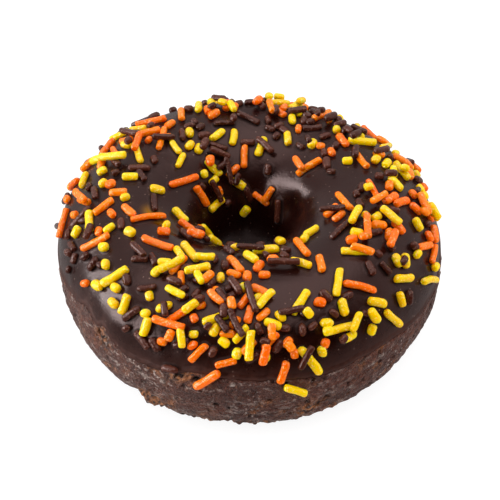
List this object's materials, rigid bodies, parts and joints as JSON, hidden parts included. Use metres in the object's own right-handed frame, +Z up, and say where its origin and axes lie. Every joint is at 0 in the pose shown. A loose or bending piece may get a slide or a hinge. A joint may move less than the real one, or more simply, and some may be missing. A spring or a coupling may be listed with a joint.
{
  "type": "ring doughnut",
  "caption": "Chocolate cake ring doughnut with a glossy chocolate icing cap and coloured sugar sprinkles, flat underneath.",
  "frame": {"origin": "middle of the doughnut's bounding box, at the level of its flat base", "axes": "+Z up, out of the iced top; -Y towards the side where the icing edge shows highest"},
  "size_m": [0.0864, 0.0826, 0.0341],
  "materials": {
    "dough": "rough baked chocolate cake crumb with a thin dried sugar glaze",
    "icing": "satin gloss set chocolate icing, slightly stained by the sprinkles"
  },
  "bodies": {
    "root": {"dough": "dough", "icing": "icing"}
  },
  "joints": []
}
